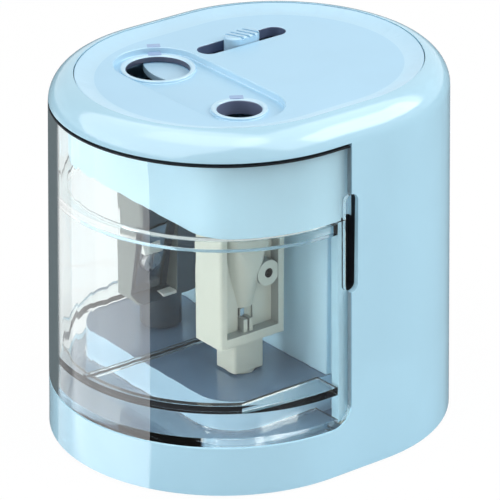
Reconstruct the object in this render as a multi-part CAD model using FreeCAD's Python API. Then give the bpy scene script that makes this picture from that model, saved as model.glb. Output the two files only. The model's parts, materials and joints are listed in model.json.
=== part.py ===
"""Battery pencil sharpener with two hole sizes, a pull-out clear bin and a hole selector slide."""
import FreeCAD
import Part
import math
import os

V = FreeCAD.Vector
os.makedirs("parts", exist_ok=True)

# Body: an oblong column with moulding draft, +Z up, bin towards -Y. Millimetres.
BODY_W = 72.0
BODY_D = 86.0
BODY_H = 77.2
DRAFT = 1.3                    # loss of radius from floor to top
WALL = 2.2
TOP_FILLET = 6.0
FOOT_DROP = 0.6                # gap under the wall
END_Y = (BODY_D - BODY_W) / 2  # centres of the round ends

# Clear bin and the window it fills.
WINDOW_Z0 = 11.0
WINDOW_Z1 = BODY_H - 5.4
WINDOW_Y = -2.0
WINDOW_R = 5.0
BIN_GAP = 0.25
BIN_TOP_GAP = 0.5
BIN_WALL = 1.8
BIN_REAR = -4.8                # where the bin's inner ledges stop
APRON_Z = WINDOW_Z1 - 16.5     # lower edge of the inner housing
SOFT_GAP = 0.3                 # clearance between sliding mouldings
RIM_Z1 = APRON_Z - SOFT_GAP
RIM_Z0, RIM_IN = RIM_Z1 - 2.2, 4.0
DECK_TOP, DECK_T = 18.8, 1.8
DECK_X, DECK_Y, DECK_R = BODY_W / 2 - 9.0, 16.0 - BODY_D / 2, 9.0
LEDGE_Z0, LEDGE_Z1, LEDGE_IN = DECK_TOP - 0.8, DECK_TOP + 0.9, 3.4
LEDGE_X = DECK_X + 0.7
TONGUE_W = 1.0
BIN_FLOOR_T = 1.4
GRIP_Y0, GRIP_Y1, GRIP_IN = WINDOW_Y - 1.5, WINDOW_Y + 1.6, 3.2
GRIP_Z1 = WINDOW_Z1 - 10.8
GRIP_Z0 = GRIP_Z1 - 21.0

# Holes and cutters.
HOLE_X, HOLE_Y = 13.4, -13.0
HOLE_R = {"left": 6.5, "right": 4.5}
LIP_W, LIP_H, LIP_CHAMFER = 1.1, 0.6, 0.3
RUN = 0.06                     # radial running clearance

# Top plate.
PLATE_R = BODY_W / 2 - 6.5
PLATE_GAP = 0.15
PLATE_RIM_Z = BODY_H - 0.2
PLATE_FLAT_R, PLATE_FLAT_Z = PLATE_R - 4.0, PLATE_RIM_Z - 1.2
SEAT_Z = PLATE_RIM_Z - 3.8
SEAT_W = 2.0
PLATE_UNDER_Z = SEAT_Z - 0.8
RECESS_R, RECESS_Z = 9.0, PLATE_FLAT_Z - 1.4
TUBE_Z = PLATE_UNDER_Z - 0.6

# Selector slide.
SLOT_X, SLOT_Y0, SLOT_Y1, SLOT_W = -13.3, -2.6, 18.9, 4.8
KNOB_L, KNOB_W, KNOB_TOP = 8.0, 4.4, PLATE_RIM_Z + 0.4
SLIDE_TRAVEL = 6.7
POCKET_Z = RECESS_Z - 0.8      # roof of the shutter's pocket under the plate
SHUTTER_Z1 = POCKET_Z - 0.2
SHUTTER_Z0, SHUTTER_W = SHUTTER_Z1 - 1.4, 15.6
SHUTTER_FRONT, SHUTTER_REAR, SHUTTER_NOSE = HOLE_Y - 0.6, 12.0, 14.0
POST_LEN = 3.0
RAIL_T, RAIL_LIP = 1.4, 1.6
RAIL_Y0, RAIL_Y1 = SLOT_Y0, SLOT_Y1 - 2.4
RAIL_Z = SHUTTER_Z0 - SOFT_GAP - 1.0
SWITCH_T = 4.0

# Inner frame.
APRON_Y = 13.5 - BODY_D / 2
APRON_T, APRON_R = 1.6, 10.0
CEILING_T = 2.0
COLLAR_Z, COLLAR_T = APRON_Z + 5.7, 1.2
NECK_T = 1.9
JAMB_Y = BIN_REAR + 0.4
JAMB_IN = 4.2
SHELF_Z0 = WINDOW_Z0 - 1.5
BULK_T, STRIP_T = 2.0, 0.8

# Cutters: block, neck, stub, the pencil cones and the blade that lies along each.
CARRIER_X, CARRIER_Y, CARRIER_Z0, CARRIER_Z1 = 4.3, 8.0, DECK_TOP + 7.4, APRON_Z - SOFT_GAP
NECK_Z = SHUTTER_Z0 - 2.5
STUB_Z = DECK_TOP + 0.5
CONES = {"left": ((0.6, CARRIER_Z0 + 1.8), (HOLE_R["left"] + 0.1, CARRIER_Z1 + 5.0)),
         "right": ((0.4, CARRIER_Z0 + 3.8), (HOLE_R["right"] + 0.1, CARRIER_Z1))}
RECESS_X, RECESS_RISE, CONE_END = 1.8, CARRIER_Z0 + 2.0, CARRIER_Z0 + 6.9
SKIN_R0, SKIN_R1 = 1.7, 7.5
CHIP_X, CHIP_Y0, CHIP_Y1 = 1.3, -1.9, 1.7      # short channel below the cone's end
PEG_Y, PEG_W, PEG_X, PEG_H = (-1.2, 0.1), 0.8, 3.4, 2.8
BLADE_Z, BLADE_L, BLADE_W, BLADE_T = CARRIER_Z0 + 9.2, 15.0, 7.0, 0.8
BLADE_SCREW_Y, EYE_Y, EYE_Z = -4.9, 4.1, CARRIER_Z0 + 13.8

# Gear train, module and pressure angle shared by every wheel.
MODULE, PRESSURE, BACKLASH = 0.5, math.radians(28.0), 0.08
OUT_TEETH, IDLE_TEETH, WHEEL_TEETH, MOTOR_TEETH = 48, 14, 50, 10
IDLE_Y = HOLE_Y + math.sqrt((MODULE * (OUT_TEETH + IDLE_TEETH) / 2) ** 2 - HOLE_X ** 2)
MOTOR_Y = IDLE_Y + MODULE * (WHEEL_TEETH + MOTOR_TEETH) / 2
OUT_Z0, OUT_Z1 = 4.8, 8.8
WHEEL_Z0, WHEEL_Z1 = 10.6, 13.8
SHAFT_R, JOURNAL_R, PIN_R = 2.0, 3.0, 1.0
WHEEL_BAY_X, WHEEL_BAY_Y, BAY_R = 15.0, 5.8, 5.0

# Motor, cells and base.
MOTOR_R, MOTOR_HALF, MOTOR_L = 10.2, 7.7, 25.0
CELL_R, CELL_L, NUB_R, NUB_H, CELL_PITCH = 7.25, 49.5, 2.7, 1.0, 14.93
CELL_WALL_GAP = 1.1
CONTACT_R, CONTACT_T = 3.6, 0.4
BASE_IN, BASE_Z0, BASE_Z1 = 2.4, 1.2, 3.4
DOOR_IN, DOOR_GAP, DOOR_T = 3.6, 0.3, 1.8
DOOR_Y0, DOOR_Y1, DOOR_TAB = 0.2, BODY_D / 2 - 11.5, 12.0
CELL_Z0 = BASE_Z1 + 1.2
CELL_Z1 = CELL_Z0 + CELL_L
HOLDER_Z, HOLDER_T, SLEEVE_L = CELL_Z1 + NUB_H + 0.5, 1.2, 12.0
HINGE_Y, HINGE_Z, HINGE_PIN_R = -1.2, BASE_Z0 + DOOR_T / 2, 0.6
FEET = [(-14.0, 10.0 - BODY_D / 2), (14.0, 10.0 - BODY_D / 2),
        (-10.0, BODY_D / 2 - 7.8), (10.0, BODY_D / 2 - 7.8)]
FOOT_R, FOOT_SINK = 3.0, 0.8
SCREWS = [(5.4 - BODY_W / 2, -6.0), (BODY_W / 2 - 5.4, -6.0), (0.0, BODY_D / 2 - 7.5)]
BOSS_Z = 12.0
SCREW_R, SCREW_HEAD_R, POST_R = 1.25, 2.2, 2.6


def radius(z):
    """Outer end radius of the drafted body at height z."""
    return BODY_W / 2 - DRAFT * z / BODY_H


def box(x0, x1, y0, y1, z0, z1):
    return Part.makeBox(x1 - x0, y1 - y0, z1 - z0, V(x0, y0, z0))


def cyl(r, x, y, z0, z1):
    return Part.makeCylinder(r, z1 - z0, V(x, y, z0))


def oblong(r0, r1, z0, z1):
    """Upright oblong between two end radii, on the body's own end centres."""
    solids = []
    for s in (-1, 1):
        at = V(0, s * END_Y, z0)
        solids.append(Part.makeCylinder(r0, z1 - z0, at) if abs(r0 - r1) < 1e-9
                      else Part.makeCone(r0, r1, z1 - z0, at))
    side = Part.makePolygon([V(-r0, -END_Y, z0), V(r0, -END_Y, z0), V(r1, -END_Y, z1),
                             V(-r1, -END_Y, z1), V(-r0, -END_Y, z0)])
    middle = Part.Face(side).extrude(V(0, 2 * END_Y, 0))
    return middle.multiFuse(solids).removeSplitter()


def body(inset, z0, z1):
    """The drafted body, inset all round."""
    return oblong(radius(z0) - inset, radius(z1) - inset, z0, z1)


def capsule(x0, y0, x1, y1, r, z0, z1):
    """Round-ended bar between two plan points."""
    dx, dy = x1 - x0, y1 - y0
    length = math.hypot(dx, dy)
    nx, ny = -dy / length * r, dx / length * r
    quad = Part.makePolygon([V(x0 + nx, y0 + ny, z0), V(x1 + nx, y1 + ny, z0), V(x1 - nx, y1 - ny, z0),
                             V(x0 - nx, y0 - ny, z0), V(x0 + nx, y0 + ny, z0)])
    bar = Part.Face(quad).extrude(V(0, 0, z1 - z0))
    return bar.multiFuse([cyl(r, x0, y0, z0, z1), cyl(r, x1, y1, z0, z1)]).removeSplitter()


def upright_edges(shape):
    return [e for e in shape.Edges if len(e.Vertexes) == 2 and
            abs(e.Vertexes[0].X - e.Vertexes[1].X) < 1e-6 and abs(e.Vertexes[0].Y - e.Vertexes[1].Y) < 1e-6]


def rounded(x0, x1, y0, y1, r, z0, z1):
    """Box with rounded upright edges."""
    shape = box(x0, x1, y0, y1, z0, z1)
    return shape.makeFillet(r, upright_edges(shape))


def window(grow):
    """Block that clears the bin's window, with its lower rear corner rounded."""
    y, z0, z1, r = WINDOW_Y - grow, WINDOW_Z0 + grow, WINDOW_Z1 - grow, WINDOW_R - grow
    block = box(-60, 60, -80, y, z0, z1)
    edge = [e for e in block.Edges if all(abs(v.Y - y) < 1e-6 and abs(v.Z - z0) < 1e-6 for v in e.Vertexes)]
    return block.makeFillet(r, edge)


def grips():
    """Finger grooves over the seam between the bin and the housing, one each side."""
    r = (GRIP_Y1 - GRIP_Y0) / 2
    y = (GRIP_Y0 + GRIP_Y1) / 2
    bar = box(-60, 60, y - r, y + r, GRIP_Z0 + r, GRIP_Z1 - r)
    for z in (GRIP_Z0 + r, GRIP_Z1 - r):
        bar = bar.fuse(Part.makeCylinder(r, 120, V(-60, y, z), V(1, 0, 0)))
    return bar.removeSplitter().cut(body(GRIP_IN, GRIP_Z0 - 5, GRIP_Z1 + 5))


def deck_outline(grow, z0, z1, rear=0.0):
    """Deck platform: straight sides, round front corners, square at the rear."""
    front = rounded(-DECK_X - grow, DECK_X + grow, DECK_Y - grow, -DECK_Y, DECK_R + grow, z0, z1)
    return front.common(box(-60, 60, -60, rear, z0, z1))


def housing():
    shell = body(0, FOOT_DROP, BODY_H)
    rim = [e for e in shell.Edges if all(abs(v.Z - BODY_H) < 1e-6 for v in e.Vertexes)]
    shell = shell.makeFillet(TOP_FILLET, rim)
    shell = shell.cut(body(WALL, FOOT_DROP - 1, SEAT_Z))
    shell = shell.cut(oblong(PLATE_R + PLATE_GAP, PLATE_R + PLATE_GAP, SEAT_Z - 1, BODY_H + 1))
    seat_in, seat_out = PLATE_R - SEAT_W, PLATE_R + SEAT_W
    seat = oblong(seat_out, seat_out, WINDOW_Z1, SEAT_Z).cut(oblong(seat_in, seat_in, WINDOW_Z1, SEAT_Z))
    shell = shell.fuse(seat).cut(window(0))
    jamb = body(BIN_WALL + SOFT_GAP, WINDOW_Z0, APRON_Z - 0.1).fuse(
        body(WALL / 2, WINDOW_Z0, APRON_Z - 0.1).common(box(-60, 60, WINDOW_Y, 9, 0, 99)))
    jamb = jamb.cut(body(JAMB_IN, WINDOW_Z0, APRON_Z - 0.1)).common(
        box(-60, 60, JAMB_Y, WINDOW_Y + BULK_T, 0, 99))
    x, y = SCREWS[2]
    rib = box(-1, 1, y, BODY_D, BASE_Z1, BOSS_Z).common(body(WALL / 2, BASE_Z1, BOSS_Z))
    boss = cyl(POST_R, x, y, BASE_Z1, BOSS_Z).fuse(rib)
    shell = shell.multiFuse([jamb, boss]).cut(cyl(SCREW_R, x, y, BASE_Z1 - 1, 10))
    return shell.cut(grips()).removeSplitter()


def hole_at(side):
    return (-HOLE_X if side == "left" else HOLE_X), HOLE_Y


def top_plate():
    plate = oblong(PLATE_R, PLATE_R, SEAT_Z, PLATE_RIM_Z)
    lower = PLATE_R - SEAT_W - PLATE_GAP
    plate = plate.fuse(oblong(lower, lower, PLATE_UNDER_Z, SEAT_Z))
    plate = plate.cut(oblong(PLATE_FLAT_R, PLATE_R, PLATE_FLAT_Z, PLATE_RIM_Z))
    plate = plate.cut(capsule(-HOLE_X, HOLE_Y, HOLE_X, HOLE_Y, RECESS_R, RECESS_Z, BODY_H))
    for side, r in HOLE_R.items():
        x, y = hole_at(side)
        plate = plate.fuse(cyl(r + LIP_W, x, y, TUBE_Z, RECESS_Z + LIP_H))
        plate = plate.cut(cyl(r, x, y, TUBE_Z - 1, BODY_H))
        top = RECESS_Z + LIP_H
        plate = plate.cut(Part.makeCone(r, r + LIP_CHAMFER, LIP_CHAMFER, V(x, y, top - LIP_CHAMFER)))
    r = SLOT_W / 2
    plate = plate.cut(capsule(SLOT_X, SLOT_Y0 + r, SLOT_X, SLOT_Y1 - r, r, PLATE_UNDER_Z - 1, BODY_H))
    half = SHUTTER_W / 2 + SOFT_GAP
    plate = plate.cut(box(SLOT_X - half, SLOT_X + half, SHUTTER_FRONT - SLIDE_TRAVEL - SOFT_GAP,
                          SHUTTER_REAR + SLIDE_TRAVEL + SOFT_GAP, TUBE_Z - 1, POCKET_Z))
    for s in (-1, 1):
        xs = sorted((SLOT_X + s * half, SLOT_X + s * (half + RAIL_T)))
        lip = sorted((SLOT_X + s * (half - RAIL_LIP), SLOT_X + s * (half + RAIL_T)))
        plate = plate.fuse(box(*xs, RAIL_Y0, RAIL_Y1, RAIL_Z, PLATE_UNDER_Z))
        plate = plate.fuse(box(*lip, RAIL_Y0, RAIL_Y1, RAIL_Z, SHUTTER_Z0 - SOFT_GAP))
    return plate.removeSplitter()


def knob():
    y = (SLOT_Y0 + SLOT_Y1) / 2
    r = KNOB_W / 2
    shape = capsule(SLOT_X, y - KNOB_L / 2 + r, SLOT_X, y + KNOB_L / 2 - r, r, SHUTTER_Z1, KNOB_TOP)
    rim = [e for e in shape.Edges if all(abs(v.Z - KNOB_TOP) < 1e-6 for v in e.Vertexes)]
    shape = shape.makeFillet(0.5, rim)
    for k in range(4):
        groove = box(-5, 5, -0.3, 0.3, -0.45, 2)
        groove.rotate(V(0, 0, 0), V(0, 0, 1), 24)
        groove.translate(V(SLOT_X, y + (k - 1.5) * 1.5, KNOB_TOP))
        shape = shape.cut(groove)
    return shape


def shutter():
    """Plate under the slot whose round front edge closes the large hole."""
    half, nose = SHUTTER_W / 2, SHUTTER_NOSE
    plate = box(SLOT_X - half, SLOT_X + half, SHUTTER_FRONT, SHUTTER_REAR, SHUTTER_Z0, SHUTTER_Z1)
    plate = plate.common(cyl(nose, SLOT_X, SHUTTER_FRONT + nose, SHUTTER_Z0, SHUTTER_Z1).fuse(
        box(SLOT_X - half, SLOT_X + half, SHUTTER_FRONT + nose, SHUTTER_REAR, SHUTTER_Z0, SHUTTER_Z1)))
    post = cyl(0.8, SLOT_X, (SLOT_Y0 + SLOT_Y1) / 2, SHUTTER_Z0 - POST_LEN, SHUTTER_Z0)
    return plate.fuse(post).removeSplitter()


def selector_switch():
    """Contact module hung under the rails, worked by the shutter's post."""
    y = (SLOT_Y0 + SLOT_Y1) / 2
    half, run = (SHUTTER_W + SOFT_GAP) / 2, (SLOT_Y1 - SLOT_Y0) / 2
    shape = rounded(SLOT_X - half, SLOT_X + half, y - run, y + run, 1.0, RAIL_Z - SWITCH_T, RAIL_Z)
    reach = run - KNOB_L / 2 + 0.6
    return shape.cut(capsule(SLOT_X, y - reach, SLOT_X, y + reach, 1.2, SHUTTER_Z0 - POST_LEN - 0.2, RAIL_Z))


def apron_block(inset, z0, rear):
    """Body section behind the flat apron, its two front corners rounded."""
    y = APRON_Y + inset
    block = body(WALL + inset, z0, WINDOW_Z1).common(box(-60, 60, y, rear, 0, 99))
    corners = [e for e in block.Edges if abs(e.Vertexes[0].Z - e.Vertexes[-1].Z) > 1 and
               all(abs(v.Y - y) < 1e-6 for v in e.Vertexes)]
    return block.makeFillet(APRON_R - inset, corners)


def upper_housing():
    shape = apron_block(0, APRON_Z, 0).cut(apron_block(APRON_T, APRON_Z + CEILING_T, -APRON_T))
    for side, r in HOLE_R.items():
        x, y = hole_at(side)
        neck = r + NECK_T
        shape = shape.fuse(cyl(neck + RUN + COLLAR_T, x, y, APRON_Z, COLLAR_Z))
        shape = shape.cut(cyl(neck + RUN, x, y, APRON_Z - 1, COLLAR_Z + 1))
    half = SHUTTER_W / 2 + SOFT_GAP + RAIL_T + 0.6
    notch = box(SLOT_X - half, SLOT_X + half, -APRON_T - 0.2, 0.1, RAIL_Z - SWITCH_T - 1, WINDOW_Z1)
    return shape.cut(notch).cut(grips()).removeSplitter()


def bulkhead():
    panel = box(-DECK_X, DECK_X, WINDOW_Y, WINDOW_Y + BULK_T, DECK_TOP, APRON_Z)
    rear = WINDOW_Y + BULK_T
    strip = box(-60, 60, rear - STRIP_T, rear, WINDOW_Z0, APRON_Z).cut(
        deck_outline(0, WINDOW_Z0, DECK_TOP))
    return panel.fuse(strip).common(body(JAMB_IN, WINDOW_Z0, APRON_Z)).removeSplitter()


def drive_deck():
    t = DECK_T
    shelf = body(WALL, SHELF_Z0, WINDOW_Z0).common(box(-60, 60, -BODY_D, 0, 0, 99))
    shape = shelf.fuse(deck_outline(0, SHELF_Z0, DECK_TOP))
    hollow = deck_outline(-t, SHELF_Z0 - 1, DECK_TOP - t, rear=-t)
    for half, rear in ((WHEEL_BAY_X, WHEEL_BAY_Y), (MOTOR_R + 1.3, MOTOR_Y + MOTOR_HALF + 0.4)):
        shape = shape.fuse(rounded(-half, half, -9, rear, BAY_R, SHELF_Z0, DECK_TOP).common(
            box(-60, 60, 0, 60, 0, 99)))
        hollow = hollow.fuse(rounded(t - half, half - t, -9, rear - t, BAY_R - t, SHELF_Z0 - 1, DECK_TOP - t))
    shape = shape.cut(hollow.cut(cyl(3.0, 0, IDLE_Y, WHEEL_Z1 + 0.4, DECK_TOP)))
    shape = shape.cut(cyl(PIN_R, 0, IDLE_Y, WHEEL_Z1 - 1, DECK_TOP - 0.8))
    for x, y in SCREWS[:2]:
        shape = shape.fuse(cyl(POST_R, x, y, BASE_Z1, SHELF_Z0)).cut(cyl(SCREW_R, x, y, BASE_Z1, 10))
    for side in HOLE_R:
        x, y = hole_at(side)
        shape = shape.cut(cyl(JOURNAL_R + RUN, x, y, 10, DECK_TOP + 1))
    shape = shape.cut(cyl(3.2, 0, MOTOR_Y, 10, DECK_TOP + 1))
    for s in (-1, 1):
        shape = shape.cut(cyl(PIN_R, s * 7.5, MOTOR_Y, 10, DECK_TOP + 1))
    return shape.removeSplitter()


def bin_shape():
    z0, z1 = WINDOW_Z0 + BIN_GAP, WINDOW_Z1 - BIN_TOP_GAP
    front = box(-60, 60, -80, BIN_REAR, 0, 99)
    shape = body(0, z0, z1).cut(body(BIN_WALL, z0 - 1, z1 + 1))
    rim = body(BIN_WALL - 0.3, RIM_Z0, RIM_Z1).cut(body(RIM_IN, RIM_Z0, RIM_Z1)).common(front)
    ledge = body(BIN_WALL - 0.3, LEDGE_Z0, LEDGE_Z1).common(front)
    ledge = ledge.cut(body(LEDGE_IN, LEDGE_Z0, LEDGE_Z1).common(box(-LEDGE_X, LEDGE_X, -80, 0, 0, 99)))
    tongue = box(-TONGUE_W / 2, TONGUE_W / 2, -BODY_D, BIN_REAR, DECK_TOP + SOFT_GAP, LEDGE_Z1 + 0.5)
    floor = body(BIN_WALL - 0.3, z0, z0 + BIN_FLOOR_T).common(front).cut(
        deck_outline(0.4, z0 - 1, z0 + 9))
    shape = shape.multiFuse([rim, ledge, tongue.common(body(BIN_WALL / 2, DECK_TOP, LEDGE_Z1 + 1)), floor])
    return shape.common(window(BIN_GAP)).cut(grips()).removeSplitter()


def cone_radius(cone, z):
    (r_low, z_low), (r_high, z_high) = cone
    return r_low + (r_high - r_low) * (z - z_low) / (z_high - z_low)


def cutter(cone, z_mid, length, screw_y):
    """Blade, its screw and the pocket for both, lying along the +X side of a pencil cone."""
    tilt = math.degrees(math.atan2(cone[1][0] - cone[0][0], cone[1][1] - cone[0][1]))
    half, thick, wide = length / 2, BLADE_T, BLADE_W
    blade = box(0, thick, -wide - 0.2, -0.2, -half, half)
    bevel = Part.Face(Part.makePolygon([V(thick, -0.2, -99), V(thick, -1.6, -99), V(0.15, -0.2, -99),
                                        V(thick, -0.2, -99)])).extrude(V(0, 0, 200))
    blade = blade.cut(bevel)
    across = V(1, 0, 0)
    screw = Part.makeCylinder(2.0, 1.2, V(thick, screw_y, 0), across)
    screw = screw.fuse(Part.makeCylinder(PIN_R, thick + 2.6, V(-2.6, screw_y, 0), across))
    slot = box(thick + 0.6, 9, -0.3, 0.3, -4, 4)
    slot.translate(V(0, screw_y, 0))
    screw = screw.cut(slot)
    blade = blade.cut(Part.makeCylinder(PIN_R, 9, V(-4, screw_y, 0), across))
    pocket = box(0, 9, -9, 1.2, -half - 0.8, half + 0.8)
    out = []
    for shape in (blade, screw, pocket):
        shape.rotate(V(0, 0, 0), V(0, 1, 0), tilt)
        shape.translate(V(cone_radius(cone, z_mid), 0, z_mid))
        out.append(shape)
    return out


def carrier(side):
    """Cutter block with its neck, stub and drive shaft; blade and screw come back beside it."""
    cone = CONES[side]
    r_hole = HOLE_R[side]
    block = rounded(-CARRIER_X, CARRIER_X, -CARRIER_Y, CARRIER_Y, 0.6, CARRIER_Z0, CARRIER_Z1)
    blade, screw, pocket = cutter(cone, BLADE_Z, BLADE_L, BLADE_SCREW_Y)
    if side == "left":
        stub = cyl(4.4, 0, 0, STUB_Z, CARRIER_Z0)
    else:
        for shape in (blade, screw, pocket):
            shape.rotate(V(0, 0, 0), V(0, 0, 1), 180)
        stub = rounded(-3.1, 3.1, -3.7, 3.7, 0.7, STUB_Z, CARRIER_Z0)
        recess = box(RECESS_X, 9, -CARRIER_Y + 1.5, CARRIER_Y - 1.5, RECESS_RISE, CARRIER_Z1 - 2.0)
        skin = Part.makeCone(SKIN_R0, SKIN_R1, CARRIER_Z1 - CONE_END, V(0, 0, CONE_END))
        eye = Part.makeCylinder(2.75, 2.4, V(1.7, EYE_Y, EYE_Z), V(1, 0, 0)).cut(
            Part.makeCylinder(PIN_R, 9, V(2.6, EYE_Y, EYE_Z), V(1, 0, 0)))
        recess = recess.cut(skin).fuse(box(CHIP_X, 9, CHIP_Y0, CHIP_Y1, RECESS_RISE, CONE_END)).cut(eye)
        for y in PEG_Y:
            recess = recess.cut(box(0, PEG_X, y - PEG_W / 2, y + PEG_W / 2, 0, RECESS_RISE + PEG_H))
        block = block.cut(recess)
    block = block.cut(pocket)
    shape = block.multiFuse([stub, cyl(r_hole + NECK_T, 0, 0, CARRIER_Z1, NECK_Z),
                             cyl(JOURNAL_R, 0, 0, DECK_TOP - DECK_T, STUB_Z),
                             cyl(SHAFT_R, 0, 0, 2.4, DECK_TOP - DECK_T)])
    (r_low, z_low), (r_high, z_high) = cone
    shape = shape.cut(Part.makeCone(r_low, r_high, z_high - z_low, V(0, 0, z_low)))
    shape = shape.cut(cyl(r_hole + 0.1, 0, 0, z_high, NECK_Z + 1))
    shape = shape.cut(blade).cut(screw).removeSplitter()
    x, y = hole_at(side)
    for piece in (shape, blade, screw):
        piece.translate(V(x, y, 0))
    return shape, blade, screw


def involute(angle):
    return math.tan(angle) - angle


def gear(teeth, phase, x, y, z0, z1):
    """Spur gear with involute flanks; a tooth is centred on the phase angle."""
    pitch_r = MODULE * teeth / 2
    base_r = pitch_r * math.cos(PRESSURE)
    tip_r, root_r = pitch_r + 0.9 * MODULE, pitch_r - 1.15 * MODULE
    half = math.pi / (2 * teeth) - BACKLASH / (2 * pitch_r) + involute(PRESSURE)
    low = max(base_r, root_r)
    radii = [low + (tip_r - low) * k / 4 for k in range(5)]
    flank = [(r, half - involute(math.acos(min(1.0, base_r / r)))) for r in radii]
    if root_r < base_r:
        flank.insert(0, (root_r, flank[0][1]))
    points = []
    for k in range(teeth):
        centre = phase + 2 * math.pi * k / teeth
        for r, a in [(r, -a) for r, a in flank] + flank[::-1]:
            points.append(V(x + r * math.cos(centre + a), y + r * math.sin(centre + a), z0))
    return Part.Face(Part.makePolygon(points + points[:1])).extrude(V(0, 0, z1 - z0))


def mesh_phase(phase, teeth, at, mate_teeth, mate_at):
    """Phase that puts the mate's gap on this gear's tooth along the line of centres."""
    line = math.atan2(mate_at[1] - at[1], mate_at[0] - at[0])
    ahead = ((line - phase) / (2 * math.pi / teeth)) % 1.0
    return line + math.pi + (ahead + 0.5) * 2 * math.pi / mate_teeth


def compound_gear():
    shape = gear(IDLE_TEETH, 0, 0, IDLE_Y, OUT_Z0 - 0.2, OUT_Z1 + 0.8)
    shape = shape.fuse(cyl(2.9, 0, IDLE_Y, OUT_Z1 + 0.8, WHEEL_Z0))
    shape = shape.fuse(gear(WHEEL_TEETH, 0, 0, IDLE_Y, WHEEL_Z0, WHEEL_Z1))
    return shape.cut(cyl(PIN_R + RUN, 0, IDLE_Y, 0, 30))


def output_gear(side):
    at = hole_at(side)
    phase = mesh_phase(0, IDLE_TEETH, (0, IDLE_Y), OUT_TEETH, at)
    return gear(OUT_TEETH, phase, *at, OUT_Z0, OUT_Z1).cut(cyl(SHAFT_R, *at, 0, 30))


def motor_pinion():
    at = (0, MOTOR_Y)
    phase = mesh_phase(0, WHEEL_TEETH, (0, IDLE_Y), MOTOR_TEETH, at)
    return gear(MOTOR_TEETH, phase, *at, WHEEL_Z0 - 0.3, WHEEL_Z1 + 0.3).cut(cyl(PIN_R, *at, 0, 30))


def motor_section(r, half, z0, z1):
    return cyl(r, 0, MOTOR_Y, z0, z1).common(box(-60, 60, MOTOR_Y - half, MOTOR_Y + half, z0, z1))


def motor_can():
    can = motor_section(MOTOR_R, MOTOR_HALF, DECK_TOP, DECK_TOP + MOTOR_L)
    can = can.fuse(cyl(3.0, 0, MOTOR_Y, DECK_TOP - 1.6, DECK_TOP))
    can = can.cut(cyl(PIN_R + RUN, 0, MOTOR_Y, 10, DECK_TOP + 6))
    for s in (-1, 1):
        can = can.cut(cyl(PIN_R, s * 7.5, MOTOR_Y, 10, DECK_TOP + 2.6))
    return can


def motor_cap():
    z = DECK_TOP + MOTOR_L
    cap = motor_section(MOTOR_R - 0.5, MOTOR_HALF - 0.5, z, z + 2.4)
    return cap.fuse(cyl(3.0, 0, MOTOR_Y, z + 2.4, z + 3.4))


def motor_screws():
    solids = []
    for s in (-1, 1):
        x, z = s * 7.5, DECK_TOP - DECK_T
        solids.append(cyl(2.0, x, MOTOR_Y, z - 1.2, z).fuse(cyl(PIN_R, x, MOTOR_Y, z, DECK_TOP + 2.4)))
    return Part.makeCompound(solids)


def base_plate():
    plate = body(BASE_IN, BASE_Z0, BASE_Z1)
    plate = plate.cut(body(DOOR_IN, 0, 9).common(box(-60, 60, DOOR_Y0, DOOR_Y1, 0, 9)))
    plate = plate.cut(box(-DOOR_TAB - DOOR_GAP, DOOR_TAB + DOOR_GAP, HINGE_Y - 1.2, DOOR_Y0 + 0.1, 0, 9))
    plate = plate.cut(Part.makeCylinder(HINGE_PIN_R + RUN, 2 * DOOR_TAB + 4.4,
                                        V(-DOOR_TAB - 2.2, HINGE_Y, HINGE_Z), V(1, 0, 0)))
    for side in HOLE_R:
        x, y = hole_at(side)
        plate = plate.fuse(cyl(4.0, x, y, BASE_Z1, OUT_Z0 - 0.4)).cut(cyl(SHAFT_R + RUN, x, y, 2.2, 9))
    plate = plate.fuse(cyl(2.6, 0, IDLE_Y, BASE_Z1, OUT_Z0 - 0.5)).cut(cyl(PIN_R, 0, IDLE_Y, 2.0, 9))
    for x, y in SCREWS:
        plate = plate.cut(cyl(SCREW_HEAD_R, x, y, 0, BASE_Z0 + 1.2)).cut(cyl(SCREW_R, x, y, 0, 9))
    for x, y in FEET:
        plate = plate.cut(cyl(FOOT_R, x, y, 0, BASE_Z0 + FOOT_SINK))
    return plate.removeSplitter()


def base_screws():
    solids = []
    for x, y in SCREWS:
        head = cyl(SCREW_HEAD_R, x, y, BASE_Z0, BASE_Z0 + 1.2)
        screw = head.fuse(cyl(SCREW_R, x, y, BASE_Z0 + 1.2, SHELF_Z0 - 0.5))
        for turn in (0, 90):
            cross = box(-1.3, 1.3, -0.3, 0.3, 0, BASE_Z0 + 0.6)
            cross.rotate(V(0, 0, 0), V(0, 0, 1), turn)
            cross.translate(V(x, y, 0))
            screw = screw.cut(cross)
        solids.append(screw)
    return Part.makeCompound(solids)


def feet():
    return Part.makeCompound([cyl(FOOT_R, x, y, 0, BASE_Z0 + FOOT_SINK) for x, y in FEET])


def battery_door():
    z1 = BASE_Z0 + DOOR_T
    door = body(DOOR_IN + DOOR_GAP, BASE_Z0, z1).common(
        box(-60, 60, DOOR_Y0 + DOOR_GAP, DOOR_Y1 - DOOR_GAP, 0, 9))
    door = door.fuse(box(-DOOR_TAB, DOOR_TAB, HINGE_Y, DOOR_Y0 + 1, BASE_Z0, z1))
    door = door.fuse(Part.makeCylinder(DOOR_T / 2, 2 * DOOR_TAB, V(-DOOR_TAB, HINGE_Y, HINGE_Z), V(1, 0, 0)))
    door = door.fuse(Part.makeCylinder(HINGE_PIN_R, 2 * DOOR_TAB + 4, V(-DOOR_TAB - 2, HINGE_Y, HINGE_Z),
                                       V(1, 0, 0)))
    return door.cut(capsule(-5, DOOR_Y1 - 4, 5, DOOR_Y1 - 4, 2.0, 0, BASE_Z0 + 0.8)).removeSplitter()


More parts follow.
